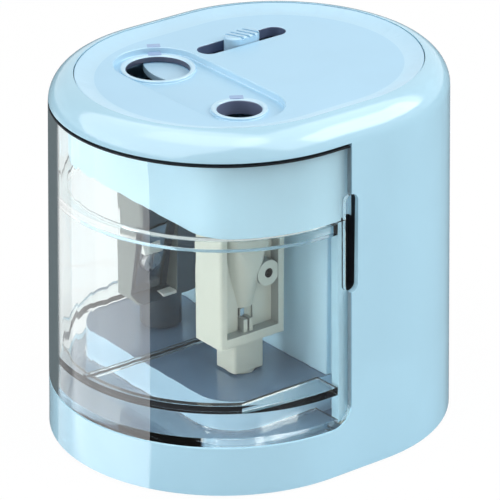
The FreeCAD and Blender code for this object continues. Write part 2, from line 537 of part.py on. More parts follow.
def cell_pairs():
    """Two upright cells on each side, against the wall and clear of the bulkhead."""
    reach = radius(CELL_Z1) - WALL - CELL_WALL_GAP - CELL_R
    y0 = WINDOW_Y + BULK_T + CELL_R + 0.35
    x0 = math.sqrt(reach ** 2 - max(0.0, y0 - END_Y) ** 2)
    far = math.hypot(x0, y0 - END_Y)
    step = math.acos((far ** 2 + reach ** 2 - CELL_PITCH ** 2) / (2 * far * reach))
    turn = math.atan2(y0 - END_Y, x0) + step
    places = [(x0, y0), (reach * math.cos(turn), END_Y + reach * math.sin(turn))]
    return [[(s * x, y) for x, y in places] for s in (-1, 1)]


def door_contacts():
    z = BASE_Z0 + DOOR_T
    solids = []
    for (x0, y0), (x1, y1) in cell_pairs():
        strap = capsule(x0, y0, x1, y1, CONTACT_R, z, z + CONTACT_T)
        solids.append(strap.multiFuse([cyl(2.2, x0, y0, z, z + 1.2), cyl(2.2, x1, y1, z, z + 1.2)]))
    return Part.makeCompound(solids)


def top_contacts():
    z = HOLDER_Z - CONTACT_T
    return Part.makeCompound([capsule(*a, *b, CONTACT_R, z, HOLDER_Z) for a, b in cell_pairs()])


def battery_holder():
    plate = body(WALL, HOLDER_Z, HOLDER_Z + HOLDER_T).common(box(-60, 60, 0, 60, 0, 99))
    sleeves, bores = [], []
    for pair in cell_pairs():
        for x, y in pair:
            sleeves.append(cyl(CELL_R + 1.6, x, y, HOLDER_Z - SLEEVE_L, HOLDER_Z))
            bores.append(cyl(CELL_R + 0.5, x, y, HOLDER_Z - SLEEVE_L - 1, HOLDER_Z))
    inside = body(WALL + 1.2, HOLDER_Z - SLEEVE_L, HOLDER_Z).common(box(-60, 60, 0, 60, 0, 99))
    sleeves = sleeves[0].multiFuse(sleeves[1:]).common(inside)
    sleeves = sleeves.cut(bores[0].multiFuse(bores[1:])).cut(top_contacts())
    return plate.fuse(sleeves).removeSplitter()


def cells():
    solids = []
    for pair in cell_pairs():
        for k, (x, y) in enumerate(pair):
            can = (CELL_Z0, CELL_Z1) if k == 0 else (CELL_Z0 + NUB_H, CELL_Z1 + NUB_H)
            nub = (CELL_Z1, CELL_Z1 + NUB_H) if k == 0 else (CELL_Z0, CELL_Z0 + NUB_H)
            solids.append(cyl(CELL_R, x, y, *can).fuse(cyl(NUB_R, x, y, *nub)))
    return Part.makeCompound(solids)


NODES = {
    "main_housing": housing(),
    "top_plate": top_plate(),
    "upper_housing": upper_housing(),
    "rear_bulkhead": bulkhead(),
    "drive_deck": drive_deck(),
    "base_plate": base_plate(),
    "base_screws": base_screws(),
    "feet": feet(),
    "shavings_bin": bin_shape(),
    "selector_knob": knob(),
    "hole_shutter": shutter(),
    "selector_switch": selector_switch(),
    "compound_gear": compound_gear(),
    "compound_axle": cyl(PIN_R, 0, IDLE_Y, 2.0, DECK_TOP - 0.8),
    "motor_can": motor_can(),
    "motor_cap": motor_cap(),
    "motor_screws": motor_screws(),
    "motor_shaft": cyl(PIN_R, 0, MOTOR_Y, WHEEL_Z0 - 0.6, DECK_TOP + 5.8),
    "motor_pinion": motor_pinion(),
    "battery_holder": battery_holder(),
    "battery_cells": cells(),
    "top_contacts": top_contacts(),
    "battery_door": battery_door(),
    "door_contacts": door_contacts(),
}
for SIDE in HOLE_R:
    block, blade, screw = carrier(SIDE)
    NODES[SIDE + "_carrier"] = block
    NODES[SIDE + "_blade"] = blade
    NODES[SIDE + "_blade_screw"] = screw
    NODES[SIDE + "_output_gear"] = output_gear(SIDE)

for name, shape in NODES.items():
    shape.exportStep("parts/" + name + ".step")
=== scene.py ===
"""Battery pencil sharpener: pale blue shell, clear pull-out bin, two cutters, slide over the large hole."""
import json
import math
import bmesh
import bpy
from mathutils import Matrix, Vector


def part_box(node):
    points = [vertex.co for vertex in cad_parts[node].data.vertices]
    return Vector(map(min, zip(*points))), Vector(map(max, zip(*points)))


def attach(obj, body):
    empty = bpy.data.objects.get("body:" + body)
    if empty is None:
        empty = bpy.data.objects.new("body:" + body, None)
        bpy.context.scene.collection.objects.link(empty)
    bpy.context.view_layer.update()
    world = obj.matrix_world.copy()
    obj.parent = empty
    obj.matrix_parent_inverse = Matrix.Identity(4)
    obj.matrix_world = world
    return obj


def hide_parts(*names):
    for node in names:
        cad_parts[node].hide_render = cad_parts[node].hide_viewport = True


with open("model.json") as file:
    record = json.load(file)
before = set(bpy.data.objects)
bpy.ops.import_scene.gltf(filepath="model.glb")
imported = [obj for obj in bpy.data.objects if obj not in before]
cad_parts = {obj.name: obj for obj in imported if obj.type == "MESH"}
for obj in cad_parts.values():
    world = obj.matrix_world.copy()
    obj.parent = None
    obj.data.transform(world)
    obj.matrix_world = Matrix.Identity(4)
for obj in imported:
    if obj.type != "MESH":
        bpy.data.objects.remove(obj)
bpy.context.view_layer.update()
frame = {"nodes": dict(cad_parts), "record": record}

# Base plate: a flat moulding that closes the shell from below and carries the gear shafts.
# Injection-moulded plastic with a fine spark-eroded face, held by three screws.
MM = 0.001
WELD = 2e-6
FLAT_ANGLE = math.radians(0.3)
SHARP_ANGLE = math.radians(28)
BODY_OF = {node: body for body, nodes in frame["record"]["behaviour"]["bodies"].items() for node in nodes}


class Wire:
    """One socket of a material; arithmetic on it adds Math nodes to the same tree."""

    def __init__(self, tree, socket=None):
        self.tree, self.socket = tree, socket

    def node(self, kind, settings, sockets, out=0):
        made = self.tree.nodes.new("ShaderNode" + kind)
        for name, value in settings.items():
            if name == "stops":
                ramp = made.color_ramp.elements
                while len(ramp) < len(value):
                    ramp.new(0.5)
                for element, (place, colour) in zip(ramp, value):
                    element.position, element.color = place, (*colour, 1.0)
            else:
                setattr(made, name, value)
        for name, value in sockets.items():
            if isinstance(value, Wire):
                self.tree.links.new(value.socket, made.inputs[name])
            else:
                made.inputs[name].default_value = value
        return Wire(self.tree, made.outputs[out])

    def maths(self, operation, left, right):
        return self.node("Math", {"operation": operation}, {0: left, 1: right})

    def __add__(self, other):
        return self.maths("ADD", self, other)

    __radd__ = __add__

    def __sub__(self, other):
        return self.maths("SUBTRACT", self, other)

    def __rsub__(self, other):
        return self.maths("SUBTRACT", other, self)

    def __mul__(self, other):
        return self.maths("MULTIPLY", self, other)

    __rmul__ = __mul__

    def step(self, start, end):
        """0 below start, 1 above end, smooth between."""
        return self.node("MapRange", {"interpolation_type": "SMOOTHSTEP"},
                         {"Value": self, "From Min": start, "From Max": end})

    def blend(self, low, high):
        """Colour that goes from low to high as this value goes from 0 to 1."""
        return self.node("Mix", {"data_type": "RGBA"}, {0: self, 6: low, 7: high}, out=2)

    def into(self, shader, name):
        self.tree.links.new(self.socket, shader.inputs[name])


def blank(name):
    """A new material with its shader, its first wire and the piece's own coordinates."""
    material = bpy.data.materials.new(name)
    material.use_nodes = True
    tree = material.node_tree
    first = Wire(tree)
    return material, tree.nodes["Principled BSDF"], first, first.node("TexCoord", {}, {}, out="Object")


def shaded(colour, factor):
    """The colour made darker or lighter, as a socket takes it."""
    return tuple(min(1.0, c * factor) for c in colour) + (1.0,)


def plastic(name, colour, roughness, grain_size, grain_depth, clouding=0.035, wander=0.05, coat=0.0):
    """Moulded plastic: faint flow clouds in the colour, uneven polish and the mould's fine grain."""
    material, shader, first, place = blank(name)
    flow = first.node("TexNoise", {}, {"Vector": place, "Scale": 38.0, "Detail": 3.0, "Distortion": 0.6})
    polish = first.node("TexNoise", {}, {"Vector": place, "Scale": 210.0, "Detail": 4.0})
    grain = first.node("TexNoise", {}, {"Vector": place, "Scale": 1.0 / grain_size, "Detail": 2.0})
    flow.step(0.3, 0.7).blend(shaded(colour, 1 - clouding), shaded(colour, 1 + clouding)).into(
        shader, "Base Color")
    (polish * wander + (roughness - wander / 2)).into(shader, "Roughness")
    relief = first.node("Bump", {}, {"Height": grain, "Strength": 0.35, "Distance": grain_depth})
    relief.into(shader, "Normal")
    shader.inputs["Coat Weight"].default_value = coat
    shader.inputs["Coat Roughness"].default_value = 0.06
    shader.inputs["IOR"].default_value = 1.5
    return material


def moulded(node, finish, edge):
    """The piece as one closed skin, with its corners eased to the small radius that a mould leaves."""
    skin = bmesh.new()
    skin.from_mesh(frame["nodes"][node].data)
    bmesh.ops.remove_doubles(skin, verts=skin.verts, dist=WELD)
    bmesh.ops.dissolve_limit(skin, angle_limit=FLAT_ANGLE, verts=skin.verts, edges=skin.edges)
    mesh = bpy.data.meshes.new(node + "_skin")
    skin.to_mesh(mesh)
    skin.free()
    if "custom_normal" in mesh.attributes:
        mesh.attributes.remove(mesh.attributes["custom_normal"])
    mesh.shade_smooth()
    mesh.set_sharp_from_angle(angle=SHARP_ANGLE)
    mesh.materials.append(finish)
    piece = bpy.data.objects.new(node + "_skin", mesh)
    bpy.context.scene.collection.objects.link(piece)
    ease = piece.modifiers.new("eased_edges", "BEVEL")
    ease.width, ease.segments = edge, 2
    ease.limit_method, ease.angle_limit = "ANGLE", SHARP_ANGLE
    even = piece.modifiers.new("even_shading", "WEIGHTED_NORMAL")
    even.keep_sharp = True
    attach(piece, BODY_OF[node])
    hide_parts(node)
    return piece


BASE_BLUE = (0.38, 0.63, 0.76)
base_finish = plastic("base_blue", BASE_BLUE, 0.5, 0.35 * MM, 0.05 * MM)
moulded("base_plate", base_finish, 0.15 * MM)

# Feet: four soft rubber discs pressed into round pockets of the base plate.
# Moulded rubber, rounded where they meet the desk, with a faint dusty bloom.
FEET_LOW, FEET_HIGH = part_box("feet")
FOOT_RADIUS = 3.0 * MM
FOOT_PLACES = ((-14.0, -33.0), (14.0, -33.0), (-10.0, 35.2), (10.0, 35.2))
FOOT_SIDES, FOOT_CROWN = 40, 0.86
RUBBER_GREY = (0.045, 0.047, 0.05)


def rubber(name, colour):
    """Matt rubber with a dusty bloom and a fine grit."""
    material, shader, first, place = blank(name)
    bloom = first.node("TexNoise", {}, {"Vector": place, "Scale": 420.0, "Detail": 5.0})
    grit = first.node("TexNoise", {}, {"Vector": place, "Scale": 2600.0, "Detail": 2.0})
    bloom.step(0.35, 0.75).blend(shaded(colour, 0.8), shaded(colour, 1.9)).into(shader, "Base Color")
    (bloom * 0.2 + 0.7).into(shader, "Roughness")
    relief = first.node("Bump", {}, {"Height": grit, "Strength": 0.5, "Distance": 0.05 * MM})
    relief.into(shader, "Normal")
    return material


class Tree:
    """A Geometry Nodes tree with named sizes; each call adds one node and links what it is given."""

    def __init__(self, name, **sizes):
        self.group = bpy.data.node_groups.new(name, "GeometryNodeTree")
        face = self.group.interface
        face.new_socket("Geometry", in_out="INPUT", socket_type="NodeSocketGeometry")
        self.keys = {}
        for size, (kind, value) in sizes.items():
            made = face.new_socket(size, in_out="INPUT", socket_type="NodeSocket" + kind)
            made.default_value = value
            self.keys[size] = made.identifier
        face.new_socket("Geometry", in_out="OUTPUT", socket_type="NodeSocketGeometry")
        self.given = self.group.nodes.new("NodeGroupInput").outputs

    def add(self, kind, settings, sockets):
        made = self.group.nodes.new(kind)
        for name, value in settings.items():
            setattr(made, name, value)
        for name, value in sockets.items():
            if isinstance(value, bpy.types.NodeSocket):
                self.group.links.new(value, made.inputs[name])
            else:
                made.inputs[name].default_value = value
        return made.outputs

    def finish(self, geometry, material):
        real = self.add("GeometryNodeRealizeInstances", {}, {0: geometry})
        painted = self.add("GeometryNodeSetMaterial", {}, {"Geometry": real[0], "Material": material})
        end = self.group.nodes.new("NodeGroupOutput")
        self.group.links.new(painted[0], end.inputs[0])

    def grow(self, name, points, **sizes):
        """Plain mesh that the tree makes on these points."""
        seed = bpy.data.meshes.new(name + "_points")
        seed.from_pydata(points, [], [])
        maker = bpy.data.objects.new(name + "_maker", seed)
        bpy.context.scene.collection.objects.link(maker)
        nodes = maker.modifiers.new("nodes", "NODES")
        nodes.node_group = self.group
        for size, value in sizes.items():
            nodes[self.keys[size]] = value
        grown = bpy.data.meshes.new_from_object(maker.evaluated_get(bpy.context.evaluated_depsgraph_get()))
        maker.modifiers.remove(nodes)
        bpy.data.objects.remove(maker)
        grown.name = name
        piece = bpy.data.objects.new(name, grown)
        bpy.context.scene.collection.objects.link(piece)
        return piece


foot_finish = rubber("foot_rubber", RUBBER_GREY)
foot_tree = Tree("rubber_feet", Radius=("Float", 0.003), Height=("Float", 0.002), Round=("Float", 0.0004))
given = foot_tree.given
disc = foot_tree.add("GeometryNodeMeshCircle", {"fill_type": "NGON"},
                     {"Vertices": FOOT_SIDES, "Radius": given["Radius"]})
wall_height = foot_tree.add("ShaderNodeMath", {"operation": "SUBTRACT"},
                            {0: given["Height"], 1: given["Round"]})
wall = foot_tree.add("GeometryNodeExtrudeMesh", {}, {"Mesh": disc[0], "Offset Scale": wall_height[0]})
rim = foot_tree.add("GeometryNodeExtrudeMesh", {}, {"Mesh": wall[0], "Selection": wall["Top"],
                                                    "Offset Scale": given["Round"]})
crown = foot_tree.add("GeometryNodeScaleElements", {}, {"Geometry": rim[0], "Selection": rim["Top"],
                                                        "Scale": FOOT_CROWN})
both = foot_tree.add("GeometryNodeJoinGeometry", {}, {0: crown[0]})
foot_tree.group.links.new(disc[0], both[0].node.inputs[0])
copies = foot_tree.add("GeometryNodeInstanceOnPoints", {},
                       {"Points": given["Geometry"], "Instance": both[0], "Rotation": (math.pi, 0.0, 0.0)})
foot_tree.finish(copies[0], foot_finish)
feet = foot_tree.grow("rubber_feet", [(x * MM, y * MM, FEET_HIGH.z) for x, y in FOOT_PLACES],
                      Radius=FOOT_RADIUS, Height=FEET_HIGH.z - FEET_LOW.z)
closed = bmesh.new()
closed.from_mesh(feet.data)
bmesh.ops.remove_doubles(closed, verts=closed.verts, dist=WELD)
bmesh.ops.recalc_face_normals(closed, faces=closed.faces)
closed.to_mesh(feet.data)
closed.free()
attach(feet, "housing")
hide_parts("feet")

# Base screws: three cross-head screws that pull the base plate up to the shell.
# Cold-headed steel with bright zinc, turned marks on the heads.
STEEL = (0.62, 0.63, 0.65)


def metal(name, colour, roughness, lines, along):
    """Bright metal with fine drawn lines; along gives the stretch of the lines on each axis."""
    material, shader, first, place = blank(name)
    drawn = first.node("Mapping", {}, {"Vector": place, "Scale": along})
    marks = first.node("TexNoise", {}, {"Vector": drawn, "Scale": lines, "Detail": 5.0, "Roughness": 0.65})
    stain = first.node("TexNoise", {}, {"Vector": place, "Scale": 260.0, "Detail": 3.0})
    stain.step(0.3, 0.75).blend(shaded(colour, 0.86), shaded(colour, 1.08)).into(shader, "Base Color")
    (marks * 0.22 + (roughness - 0.11)).into(shader, "Roughness")
    relief = first.node("Bump", {}, {"Height": marks, "Strength": 0.25, "Distance": 0.02 * MM})
    relief.into(shader, "Normal")
    shader.inputs["Metallic"].default_value = 1.0
    return material


screw_finish = metal("screw_zinc", STEEL, 0.3, 900.0, (1.0, 1.0, 0.15))
moulded("base_screws", screw_finish, 0.08 * MM)

# Battery door: a hinged lid in the base, snapped shut at the rear.
# Same moulding as the base plate, with a finger dish and raised thumb ribs beside it.
moulded("battery_door", base_finish, 0.15 * MM)
DOOR_LOW, DOOR_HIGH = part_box("battery_door")
RIB_COUNT, RIB_PITCH, RIB_LENGTH, RIB_RADIUS = 5, 2.0 * MM, 16.0 * MM, 0.3 * MM
RIB_SINK, RIB_SIDES, RIB_FROM_EDGE = 0.08 * MM, 16, 8.5 * MM
rib_tree = Tree("thumb_ribs", Length=("Float", 0.01), Radius=("Float", 0.0003))
given = rib_tree.given
half = rib_tree.add("ShaderNodeMath", {"operation": "MULTIPLY"}, {0: given["Length"], 1: 0.5})
minus = rib_tree.add("ShaderNodeMath", {"operation": "MULTIPLY"}, {0: given["Length"], 1: -0.5})
left = rib_tree.add("ShaderNodeCombineXYZ", {}, {"X": minus[0]})
right = rib_tree.add("ShaderNodeCombineXYZ", {}, {"X": half[0]})
spine = rib_tree.add("GeometryNodeCurvePrimitiveLine", {}, {"Start": left[0], "End": right[0]})
round_bar = rib_tree.add("GeometryNodeCurvePrimitiveCircle", {},
                         {"Resolution": RIB_SIDES, "Radius": given["Radius"]})
bar = rib_tree.add("GeometryNodeCurveToMesh", {},
                   {"Curve": spine[0], "Profile Curve": round_bar[0], "Fill Caps": True})
copies = rib_tree.add("GeometryNodeInstanceOnPoints", {}, {"Points": given["Geometry"], "Instance": bar[0]})
rib_tree.finish(copies[0], base_finish)
rib_y = DOOR_HIGH.y - RIB_FROM_EDGE
rib_points = [(0.0, rib_y - k * RIB_PITCH, DOOR_LOW.z + RIB_SINK) for k in range(RIB_COUNT)]
ribs = rib_tree.grow("door_thumb_ribs", rib_points, Length=RIB_LENGTH, Radius=RIB_RADIUS)
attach(ribs, "door")

# Cells, their contacts and the holder: four dry cells standing in a black cradle.
# Printed steel cans, nickel-plated strip contacts, cradle moulded in grained plastic.
contact_finish = metal("contact_nickel", (0.7, 0.68, 0.62), 0.28, 700.0, (1.0, 0.12, 1.0))
moulded("door_contacts", contact_finish, 0.06 * MM)
moulded("top_contacts", contact_finish, 0.06 * MM)
holder_finish = plastic("holder_black", (0.022, 0.022, 0.025), 0.48, 0.3 * MM, 0.06 * MM)
moulded("battery_holder", holder_finish, 0.15 * MM)
CELL_LOW, CELL_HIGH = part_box("battery_cells")
CELL_ROW_SPLIT = 14.7 * MM
BAND_HEIGHT, CAP_HEIGHT, PRINT_EDGE = 12.0 * MM, 2.2 * MM, 0.05 * MM


def cell_print(name):
    """Wrapped cell: graphite body, copper band at the nub end and bare metal at both ends."""
    material, shader, first, place = blank(name)
    axis = first.node("SeparateXYZ", {}, {"Vector": place}, out="Z")
    row = first.node("SeparateXYZ", {}, {"Vector": place}, out="Y").step(
        CELL_ROW_SPLIT - PRINT_EDGE, CELL_ROW_SPLIT + PRINT_EDGE)
    rise = (CELL_HIGH.z - axis) * (1 - row) + (axis - CELL_LOW.z) * row
    band = 1 - rise.step(BAND_HEIGHT - PRINT_EDGE, BAND_HEIGHT + PRINT_EDGE)
    bare = 1 - rise.step(CAP_HEIGHT - PRINT_EDGE, CAP_HEIGHT + PRINT_EDGE)
    dots = first.node("TexNoise", {}, {"Vector": place, "Scale": 900.0, "Detail": 3.0})
    ink = dots.step(0.3, 0.7).blend((0.028, 0.03, 0.034, 1), (0.05, 0.053, 0.06, 1))
    ink = band.node("Mix", {"data_type": "RGBA"}, {0: band, 6: ink, 7: (0.62, 0.3, 0.13, 1)}, out=2)
    bare.node("Mix", {"data_type": "RGBA"}, {0: bare, 6: ink, 7: (0.7, 0.69, 0.67, 1)}, out=2).into(
        shader, "Base Color")
    bare.into(shader, "Metallic")
    (dots * 0.16 + 0.2).into(shader, "Roughness")
    relief = first.node("Bump", {}, {"Height": dots, "Strength": 0.15, "Distance": 0.02 * MM})
    relief.into(shader, "Normal")
    return material


moulded("battery_cells", cell_print("cell_wrap"), 0.3 * MM)

# Gear train: two output gears on the cutter shafts, one compound gear and the motor's pinion.
# Natural acetal wheels on ground steel pins, a brass pinion pressed on the motor shaft.
acetal_finish = plastic("acetal_white", (0.8, 0.8, 0.76), 0.38, 0.5 * MM, 0.02 * MM)
for gear in ("left_output_gear", "right_output_gear", "compound_gear"):
    moulded(gear, acetal_finish, 0.05 * MM)
pin_finish = metal("pin_steel", (0.6, 0.61, 0.63), 0.2, 1500.0, (1.0, 1.0, 0.05))
for pin in ("compound_axle", "motor_shaft"):
    moulded(pin, pin_finish, 0.1 * MM)
moulded("motor_pinion", metal("pinion_brass", (0.72, 0.52, 0.22), 0.26, 900.0, (1, 1, 0.2)),
        0.04 * MM)

# Motor: a flat-sided drawn steel can with a plastic end cap, screwed down on the deck.
# Zinc-plated can with fine drawing lines along its length.
motor_finish = metal("motor_zinc", (0.55, 0.56, 0.57), 0.34, 620.0, (1.0, 1.0, 0.06))
moulded("motor_can", motor_finish, 0.6 * MM)
moulded("motor_cap", holder_finish, 0.3 * MM)
moulded("motor_screws", screw_finish, 0.08 * MM)

# Drive deck: the platform under the cutters, hollow over the gears, with a shelf round it.
# Glossy pale blue moulding whose coat mirrors the cutters' stubs a little; its upward faces get a much
# darker blue, painted shade.
DECK_BLUE, DECK_TOP_PAINTED_SHADE, FACING_UP = (0.39, 0.59, 0.74), (0.09, 0.155, 0.24), 0.9
deck_finish = plastic("deck_blue", DECK_BLUE, 0.13, 0.9 * MM, 0.004 * MM, coat=0.35)
deck = moulded("drive_deck", deck_finish, 0.5 * MM)
deck.data.materials.append(plastic("deck_top_painted_shade", DECK_TOP_PAINTED_SHADE, 0.13, 0.9 * MM, 0.004 * MM, coat=0.35))
# Painted shade: the faces that look up take the dark top finish.
for face in deck.data.polygons:
    face.material_index = int(face.normal.z > FACING_UP)

# Rear wall of the cutting chamber, and the upper housing over it: apron, ceiling and neck collars.
# Both pale blue and smooth, slid in from above before the top plate goes on.
INNER_BLUE = (0.48, 0.72, 0.85)
inner_finish = plastic("inner_blue", INNER_BLUE, 0.3, 0.8 * MM, 0.006 * MM)
moulded("rear_bulkhead", inner_finish, 0.3 * MM)
moulded("upper_housing", inner_finish, 0.5 * MM)

# Cutters: a smoked block under the large hole and a cream block under the small one.
# Moulded blocks that turn in the deck, each with a steel blade held by one slotted screw: bright steel in
# the cream block, a darker steel colour in the smoked block.
CREAM, CREAM_PAINTED_SHADE, EYE_PAINTED_SHADE = (0.65, 0.68, 0.595), (0.3, 0.33, 0.31), (0.03, 0.032, 0.03)
SMOKE, SMOKE_PAINTED_LIGHT, NECK_PAINTED_SHADE = (0.042, 0.062, 0.086), (0.16, 0.188, 0.178), (0.06, 0.065, 0.11)
cream_finish = plastic("cream_block", CREAM, 0.32, 0.6 * MM, 0.01 * MM)
smoke_finish = plastic("smoke_block", SMOKE, 0.16, 0.7 * MM, 0.006 * MM, coat=0.2)
blade_finish = metal("blade_ground", (0.72, 0.73, 0.75), 0.22, 1300.0, (1.0, 1.0, 0.05))
dark_blade_finish = metal("blade_dark", (0.24, 0.27, 0.31), 0.2, 1300.0, (1.0, 1.0, 0.05))
painted_block_finishes = (plastic("smoke_painted_light", SMOKE_PAINTED_LIGHT, 0.2, 0.7 * MM, 0.006 * MM, coat=0.2),
                  plastic("neck_painted_shade", NECK_PAINTED_SHADE, 0.4, 0.7 * MM, 0.006 * MM))
PAINTED_LIGHT_SIDE, NECK_SHADE_WALL, POCKET_SHADE_WALL, EYE_SHADE_WALL = 1, 2, 3, 4
CUTTER_X, CUTTER_Y = 13.4 * MM, -13.0 * MM
BLOCK_LOW, NECK_LOW, NECK_RADIUS, FACING_FRONT = 27.5 * MM, 58.0 * MM, 6.7 * MM, -0.6
for side, axis_x, slot, finish, steel in (("left", -CUTTER_X, "smoke_plastic", smoke_finish, dark_blade_finish),
                                          ("right", CUTTER_X, "cream_plastic", cream_finish, blade_finish)):
    block = moulded(side + "_carrier", finish, 0.25 * MM)
    for other in painted_block_finishes:
        block.data.materials.append(other)
    for face in block.data.polygons:
        across, along = face.center.x - axis_x, face.center.y - CUTTER_Y
        inward = face.normal.x * across + face.normal.y * along < 0
        # Painted shade: the bore walls high in each neck take a dark blue.
        if face.center.z > NECK_LOW and inward and math.hypot(across, along) < NECK_RADIUS:
            face.material_index = NECK_SHADE_WALL
        # Painted light: the smoked block's front faces take a lighter smoke colour.
        elif side == "left" and face.normal.y < FACING_FRONT and face.center.z > BLOCK_LOW:
            face.material_index = PAINTED_LIGHT_SIDE
    moulded(side + "_blade", steel, 0.05 * MM)
    moulded(side + "_blade_screw", screw_finish, 0.1 * MM)

POCKET_X0, POCKET_X1, POCKET_Z0, POCKET_Z1 = 14.6 * MM, 17.6 * MM, 28.0 * MM, 53.2 * MM
POCKET_HALF, UPRIGHT = 6.6 * MM, 0.3
EYE_Y, EYE_Z, EYE_RADIUS, EYE_FACE = -8.9 * MM, 40.0 * MM, 1.05 * MM, 17.4 * MM
# Painted shade: the upright walls inside the cream block's pocket take a darker cream.
block.data.materials.append(plastic("cream_painted_shade", CREAM_PAINTED_SHADE, 0.4, 0.6 * MM, 0.01 * MM))
# Painted shade: the walls of the small round eye in the pocket take a near-black.
block.data.materials.append(plastic("eye_painted_shade", EYE_PAINTED_SHADE, 0.5, 0.6 * MM, 0.01 * MM))
for face in block.data.polygons:
    x, y, z = face.center
    in_pocket = POCKET_X0 < x < POCKET_X1 and abs(y - CUTTER_Y) < POCKET_HALF and POCKET_Z0 < z < POCKET_Z1
    if POCKET_X0 < x < EYE_FACE and math.hypot(y - EYE_Y, z - EYE_Z) < EYE_RADIUS:
        face.material_index = EYE_SHADE_WALL
    elif in_pocket and abs(face.normal.x) < UPRIGHT:
        face.material_index = POCKET_SHADE_WALL

# Cone sleeve and blade tip: the raised sleeve over the pencil cone in the cream block's pocket,
# cut flat at the block's face, and the steel point that shows below it. Sleeve moulded with the block.
SLEEVE_LOW, SLEEVE_HIGH, SLEEVE_SHARP = 33.1 * MM, 52.9 * MM, math.radians(20)
SLEEVE_R0, SLEEVE_R1, FLOOR_X, FACE_X, SIDE_Y = (v * MM for v in (2.5, 6.98, 1.7, 4.25, 6.4))
RINGS, SPOKES = 12, 24
rings = []
for k in range(RINGS + 1):
    height = SLEEVE_LOW + (SLEEVE_HIGH - SLEEVE_LOW) * k / RINGS
    radius = SLEEVE_R0 + (SLEEVE_R1 - SLEEVE_R0) * k / RINGS
    reach = math.acos(FLOOR_X / radius)
    angles = [reach * (2 * j / SPOKES - 1) for j in range(SPOKES + 1)]
    rings.append([(CUTTER_X + min(radius * math.cos(a), FACE_X),
                   CUTTER_Y + max(-SIDE_Y, min(SIDE_Y, radius * math.sin(a))), height) for a in angles])
count = SPOKES + 1
points = [point for ring in rings for point in ring]
faces = [(low + j, low + (j + 1) % count, low + count + (j + 1) % count, low + count + j)
         for low in range(0, RINGS * count, count) for j in range(count)]
faces += [tuple(reversed(range(count))), tuple(range(RINGS * count, RINGS * count + count))]
sleeve_mesh = bpy.data.meshes.new("cone_sleeve")
sleeve_mesh.from_pydata(points, [], faces)
sleeve_mesh.shade_smooth()
sleeve_mesh.set_sharp_from_angle(angle=SLEEVE_SHARP)
sleeve_mesh.materials.append(cream_finish)
sleeve = bpy.data.objects.new("cone_sleeve", sleeve_mesh)
bpy.context.scene.collection.objects.link(sleeve)
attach(sleeve, "right_cutter")


def small_block(name, body, finish, low, high, lean):
    """A small block in millimetres; lean draws the top of its outer face back."""
    corners = [(x * MM, y * MM, z * MM) for z in (low[2], high[2]) for y in (low[1], high[1])
               for x in (low[0], high[0] - lean * (z == high[2]))]
    mesh = bpy.data.meshes.new(name)
    sides = [(0, 2, 3, 1), (4, 5, 7, 6), (0, 1, 5, 4), (2, 6, 7, 3), (0, 4, 6, 2), (1, 3, 7, 5)]
    mesh.from_pydata(corners, [], sides)
    mesh.materials.append(finish)
    piece = bpy.data.objects.new(name, mesh)
    bpy.context.scene.collection.objects.link(piece)
    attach(piece, body)


small_block("blade_tip", "right_cutter", blade_finish,
            low=(14.72, -14.7, 31.3), high=(15.7, -13.6, 33.0), lean=0.0)

# Painted highlights: two small white blocks in the acetal finish on the smoked block, one over its blade
# and one on the ledge below, standing in for glints on the steel there.
small_block("upper_painted_glint", "left_cutter", acetal_finish,
            low=(-11.6, -20.0, 37.3), high=(-8.9, -15.8, 40.4), lean=1.2)
small_block("lower_painted_glint", "left_cutter", acetal_finish,
            low=(-11.6, -15.2, 26.3), high=(-9.15, -11.9, 27.1), lean=0.2)

# Main housing: one oblong shell with moulding draft, a broad round at the top and a window in front.
# High-gloss pale blue plastic, polished in the mould, with the faintest orange peel.
SHELL_BLUE = (0.4, 0.64, 0.77)
shell_finish = plastic("shell_blue", SHELL_BLUE, 0.12, 1.6 * MM, 0.004 * MM, clouding=0.02)
housing = moulded("main_housing", shell_finish, 0.3 * MM)
SHELL_RADIUS, SHELL_LOSS, SHELL_HEIGHT, ROUND_CENTRE = 36.0 * MM, 1.3 * MM, 77.2 * MM, 7.0 * MM
GROOVE_Y0, GROOVE_Y1, GROOVE_LOW, GROOVE_HIGH = -3.5 * MM, -0.4 * MM, 40.0 * MM, 61.0 * MM
GROOVE_DARK, GROOVE_LIGHT, GROOVE_SLACK = (0.012, 0.014, 0.018), 1.1 * MM, 0.1 * MM
GROOVE_NEAR, GROOVE_FAR, GROOVE_REACH, GROOVE_SHARE = 0.2 * MM, 5.0 * MM, 6.0 * MM, 0.65


def wall_inset(point):
    """How far inside the shell's drafted outer face a point lies."""
    reach = math.hypot(point.x, max(abs(point.y) - ROUND_CENTRE, 0.0))
    return SHELL_RADIUS - SHELL_LOSS * point.z / SHELL_HEIGHT - reach


def beside_groove(middle):
    """True at the finger grooves' place along the wall and at their height."""
    return (GROOVE_Y0 - GROOVE_SLACK < middle.y < GROOVE_Y1 + GROOVE_SLACK and
            GROOVE_LOW - GROOVE_SLACK < middle.z < GROOVE_HIGH + GROOVE_SLACK)


def in_groove(face):
    """True for the faces inside the finger grooves, below the shell's surface."""
    middle = face.center
    return (wall_inset(middle) > GROOVE_LIGHT and abs(middle.x) > SHELL_RADIUS - GROOVE_REACH and
            beside_groove(middle))


groove_finish = plastic("groove_dark", GROOVE_DARK, 0.4, 0.5 * MM, 0.02 * MM)
groove_finish.node_tree.nodes["Principled BSDF"].inputs["Specular IOR Level"].default_value = 0.1
housing.data.materials.append(groove_finish)


def split(piece, point, normal, chosen):
    """Cut the chosen faces of a piece along a plane, so that each side can have its own finish."""
    cut = bmesh.new()
    cut.from_mesh(piece.data)
    faces = [face for face in cut.faces if chosen(face.calc_center_median())]
    edges = {edge for face in faces for edge in face.edges}
    verts = {vert for face in faces for vert in face.verts}
    bmesh.ops.bisect_plane(cut, geom=list(verts) + list(edges) + faces, plane_co=point, plane_no=normal)
    cut.to_mesh(piece.data)
    cut.free()


